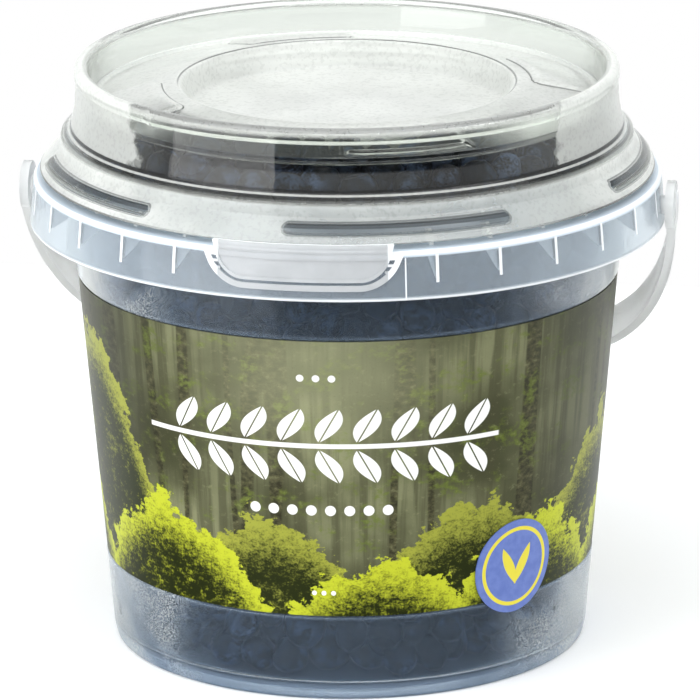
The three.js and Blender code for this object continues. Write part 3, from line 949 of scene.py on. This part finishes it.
label_gap = 0.06
label_film = 0.25
label_foot = label_bottom + 0.45
label_head = label_top - 0.45
seam_degrees = 0.5
sheet = turned("wrap_label", evenly([
    Vector((wall_radius(label_foot) - label_recess + label_gap, label_foot)),
    Vector((wall_radius(label_head) - label_recess + label_gap, label_head)),
], longest=6.0), sides=360)
seam_half = math.radians(seam_degrees) * 45 * mm
choose(sheet, "FACE", lambda face: face.center.y > 0 and abs(face.center.x) < seam_half)
bpy.ops.mesh.delete(type="FACE")
bpy.ops.object.mode_set(mode="OBJECT")
film = sheet.modifiers.new("film", "SOLIDIFY")
film.thickness = label_film * mm
film.offset = 1.0
bpy.ops.object.modifier_apply(modifier=film.name)
print_unit = 100           # millimetres to one unit of a print's map
print_map = sheet.data.uv_layers.new(name="print")
for corner in sheet.data.loops:
    spot = sheet.data.vertices[corner.vertex_index].co / mm
    around = math.atan2(spot.x, -spot.y) * wall_radius(40)
    print_map.data[corner.index].uv = (around / print_unit, (spot.z - label_foot) / print_unit)
smooth(sheet)

material, wire = new_finish("label_print")
spot = wire.node("ShaderNodeUVMap", {"uv_map": "print"})
along, rise, _ = spot.split()
along = along * print_unit
rise = rise * print_unit


def stretched(wide, high):
    """The print's place, drawn out across or up."""
    return spot.node("ShaderNodeVectorMath", {"operation": "MULTIPLY"},
                     {0: spot, 1: (print_unit / wide, print_unit / high, 1)})


def hills(crests, ragged):
    """How far a point lies under a line of round hills, in millimetres."""
    line = None
    for centre, half_width, crest in crests:
        reach = (along - centre) / half_width
        hump = crest * (1 - reach * reach)
        line = hump if line is None else line.at_least(hump)
    return line + ragged - rise


broad = stretched(26, 20).noise(1.0, 3.0, 0.5)
coarse = stretched(7, 5.5).noise(1.0, 5.0, 0.62)
fine = stretched(1.5, 1.1).noise(1.0, 4.0, 0.65)
grain = stretched(0.42, 0.38).noise(1.0, 2.0, 0.6)
bark = stretched(2.6, 50).noise(1.0, 4.0, 0.6)
tall = stretched(11, 300).noise(1.0, 2.0, 0.45)

wood = broad.step(0.35, 0.65).mix(colour(66, 68, 45), colour(128, 130, 97))
wood = (bark.step(0.42, 0.6) * 0.7).mix(wood, colour(70, 70, 49))
trunk = tall.step(0.52, 0.535) * (1 - tall.step(0.585, 0.60))
trunk_bark = fine.step(0.35, 0.65).mix(colour(44, 42, 28), colour(86, 84, 58))
leaves = coarse.step(0.5, 0.62) * fine.step(0.4, 0.6)
wood = (trunk * 0.85).mix(wood, trunk_bark)
wood = (leaves * 0.75).mix(wood, colour(98, 112, 38))
wood = (fine.step(0.55, 0.75) * 0.4).mix(wood, colour(140, 142, 104))
light_gap = abs(along - 2).step(30, 4) * rise.step(22, 44)
wood = (light_gap * 0.36).mix(wood, colour(182, 184, 146))
# The print is darkened towards the label's sides, either way from 6 mm right of its front.
darker_to_sides = abs(along - 6).step(26, 46)
wood = (darker_to_sides * 0.6).mix(wood, colour(44, 46, 26))

ragged = (coarse - 0.5) * 22 + (fine - 0.5) * 6
far = hills([
    (-52, 26, 43), (-8, 20, 17), (30, 24, 19), (66, 26, 27), (112, 30, 24), (-112, 32, 28),
], ragged)
near = hills([
    (-30, 22, 17), (12, 17, 10), (44, 20, 14), (-72, 24, 19), (84, 26, 15), (126, 26, 14),
], ragged * 0.9)


def moss(depth, deep, bright):
    """Moss that is lit at the top of its hill and falls into shade below."""
    light = depth.step(11, 0.0) * 0.62 + 1.5 * (fine - 0.5) + 0.9 * (grain - 0.5)
    return (light + 1.3 * (coarse - 0.5)).step(0.0, 0.72).mix(deep, bright)


wood = far.step(0, 0.7).mix(wood, moss(far, colour(40, 46, 14), colour(150, 154, 58)))
wood = near.step(0, 0.7).mix(wood, moss(near, colour(36, 42, 4), colour(182, 190, 42)))

band_level = 31.0
band_centre = 1.0
leaf_pitch = 6.4
leaf_long = 6.2
leaf_pairs = 4
stem_half = leaf_pitch * leaf_pairs + 6.2
from_stem = abs(rise - band_level)
from_middle = along - band_centre
lean = (from_middle - from_stem * 0.55) / leaf_pitch + 0.5
cell_side = abs((lean.math("FRACT") - 0.5) * leaf_pitch)
inside_row = abs(lean.math("FLOOR")).step(leaf_pairs + 0.6, leaf_pairs + 0.4)
leaf_reach = (from_stem - 0.6) / leaf_long
leaf_width = (leaf_reach * (1 - leaf_reach)).at_least(0.0) * 8.4
leaf = (leaf_width - cell_side).step(0.0, 0.18) * cell_side.step(0.10, 0.2) * inside_row
stem = from_stem.step(0.5, 0.34) * abs(from_middle).step(stem_half + 0.4, stem_half)


def dots(level, centre, count, pitch, size):
    """A short row of round dots."""
    place_in_row = (along - centre) / pitch + 0.5 * (count % 2)
    aside = (place_in_row.math("FRACT") - 0.5) * pitch
    row_half = count * pitch / 2
    in_row = abs(along - centre).step(row_half + 0.01, row_half)
    return length(aside, rise - level).step(size, size - 0.15) * in_row


ornament = leaf.at_least(stem)
for row in ((19.3, 1.5, 8, 3.3, 1.0), (43.2, 1.0, 3, 2.6, 0.7), (4.2, 1.8, 3, 1.7, 0.5)):
    ornament = ornament.at_least(dots(*row))
wood = (grain.step(0.15, 0.32) * ornament).mix(wood, colour(242, 242, 238))
wood = (grain.step(0.55, 0.8) * 0.15).mix(wood, colour(20, 22, 12))
label_shader = principled(wire, {
    "Base Color": wood, "Roughness": 0.4, "Specular IOR Level": 0.25,
    "Normal": grain.bump(0.03, 0.2)})
finished(material, label_shader, sheet)
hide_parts("label")
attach(sheet, "pack")


# Badge. A round printed sticker laid over the label's lower edge at the right, blue with a
# plain yellow ring and two yellow leaves.

badge_low, badge_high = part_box("badge")
badge_bearing = math.radians(49)
badge_film = 0.28
badge_level = (badge_low[2] + badge_high[2]) / 2 / mm
badge_radius = (badge_high[2] - badge_low[2]) / 2 / mm
bpy.ops.object.select_all(action="DESELECT")
bpy.ops.mesh.primitive_circle_add(vertices=96, radius=badge_radius * mm, fill_type="NGON",
                                  rotation=(math.pi / 2, 0, 0))
badge = bpy.context.object
badge.name = "round_badge"
bpy.ops.object.transform_apply(location=True, rotation=True, scale=True)
bpy.ops.object.mode_set(mode="EDIT")
sliced(np.arange(-8.0, 9.0) * mm, (1, 0, 0))
bpy.ops.mesh.select_all(action="SELECT")
bpy.ops.mesh.extrude_region_move(TRANSFORM_OT_translate={"value": (0, badge_film * mm, 0)})
face_outwards()
print_map = badge.data.uv_layers.new(name="print")
for corner in badge.data.loops:
    spot = badge.data.vertices[corner.vertex_index].co / mm
    print_map.data[corner.index].uv = (spot.x / print_unit + 0.5, spot.z / print_unit + 0.5)
badge_stand = label_film + 2 * label_gap - label_recess + 0.05
for vertex in badge.data.vertices:
    along, outward, rise = vertex.co / mm
    radius = wall_radius(badge_level + rise) + badge_stand + outward
    angle = badge_bearing + along / wall_radius(badge_level)
    vertex.co = Vector((
        radius * math.sin(angle), -radius * math.cos(angle), badge_level + rise)) * mm
bpy.ops.object.mode_set(mode="EDIT")
face_outwards()
smooth(badge)

material, wire = new_finish("badge_print")
spot = wire.node("ShaderNodeUVMap", {"uv_map": "print"})
across, upward, _ = spot.split()
across = across * print_unit - print_unit / 2
upward = upward * print_unit - print_unit / 2
from_centre = length(across, upward)
ring_ink = from_centre.step(6.4, 6.5) * from_centre.step(7.2, 7.1)


def badge_leaf(slant):
    """A pointed leaf that leans to one side, drawn from the badge's middle."""
    lean = across - upward * slant
    reach = (upward + 3.4) / 7.2
    full = reach * (1 - reach) * 4
    return (1.15 * full - abs(lean - slant * 3.0)).step(0.0, 0.12)


yellow_ink = ring_ink.at_least(badge_leaf(0.45).at_least(badge_leaf(-0.45)))
paper = spot.noise(60, 3.0).step(0.3, 0.7).mix(colour(92, 112, 180), colour(104, 124, 190))
badge_colour = yellow_ink.mix(paper, colour(222, 208, 60))
finished(material, principled(wire, {"Base Color": badge_colour, "Roughness": 0.4}), badge)
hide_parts("badge")
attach(badge, "pack")


# Handle. A flat strap of pale polypropylene with a bead along both edges, bent in a half loop
# that hangs down the back of the pail, with a round pad and a pin at each end.

pivot_height = 78.2
strap_width = 7.0
strap_half_span = 56.4
strap_reach = 61.0
hang_middle = math.radians(36)
hang_root = math.radians(56)
strap_cuts = 96
bead_edge = 0.40
bead_half_thick = 0.75
strap_half_thick = 0.45
bpy.ops.object.select_all(action="DESELECT")
bpy.ops.mesh.primitive_cube_add(size=1)
strap = bpy.context.object
strap.name = "strap_handle"
bpy.ops.object.mode_set(mode="EDIT")
sliced([cut / strap_cuts - 0.5 for cut in range(1, strap_cuts)], (1, 0, 0))
sliced((-bead_edge, -0.30, 0.30, bead_edge), (0, 1, 0))
bpy.ops.object.mode_set(mode="OBJECT")
for vertex in strap.data.vertices:
    share, across, through = vertex.co
    angle = (share + 0.5) * math.pi
    hang = hang_middle + (hang_root - hang_middle) * abs(math.cos(angle)) ** 1.6
    reach = strap_reach * math.sin(angle)
    centre = Vector((strap_half_span * math.cos(angle), reach * math.cos(hang),
                     pivot_height - reach * math.sin(hang)))
    across_way = Vector((0, math.sin(hang), math.cos(hang)))
    out_way = Vector((
        math.cos(angle) / strap_half_span,
        math.sin(angle) * math.cos(hang) / strap_reach,
        -math.sin(angle) * math.sin(hang) / strap_reach)).normalized()
    half_thick = bead_half_thick if abs(across) > bead_edge - 0.01 else strap_half_thick
    thick = half_thick * (1 if through > 0 else -1)
    vertex.co = (centre + across_way * across * strap_width + out_way * thick) * mm
ends = []
for side in (-1, 1):
    for end_radius, near_end, far_end in (
            (4.2, collar_radius + 0.5, strap_half_span + 0.6),
            (1.6, collar_top_radius - 2.4, strap_half_span),
            (3.0, collar_top_radius - 2.8, collar_top_radius - 1.6)):
        bpy.ops.mesh.primitive_cylinder_add(
            vertices=48, radius=end_radius * mm, depth=(far_end - near_end) * mm,
            rotation=(0, math.pi / 2, 0),
            location=(side * (near_end + far_end) / 2 * mm, 0, pivot_height * mm))
        bpy.ops.object.transform_apply(location=True, rotation=True, scale=True)
        ends.append(bpy.context.object)
alone(strap)
bpy.ops.object.mode_set(mode="EDIT")
face_outwards()

material, wire = new_finish("strap_polypropylene")
place = wire.node("ShaderNodeTexCoord", output="Object")
bump = place.noise(500, 2.0).bump(0.1, 0.3)
strap_clear = principled(wire, {
    "Base Color": (0.98, 0.99, 0.99), "Roughness": 0.5, "IOR": 1.3, "Transmission Weight": 1.0,
    "Normal": bump})
strap_milky = principled(wire, {"Base Color": (0.97, 0.975, 0.97), "Roughness": 0.4, "Normal": bump})
cloudiness = place.noise(120, 3.0).step(0.3, 0.7, 0.22, 0.36)
finished(material, cloudiness.mix_shaders(strap_clear, strap_milky), strap, *ends)
joined(strap, ends)
smooth(strap, degrees=50)
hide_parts("handle")
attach(strap, "bail")
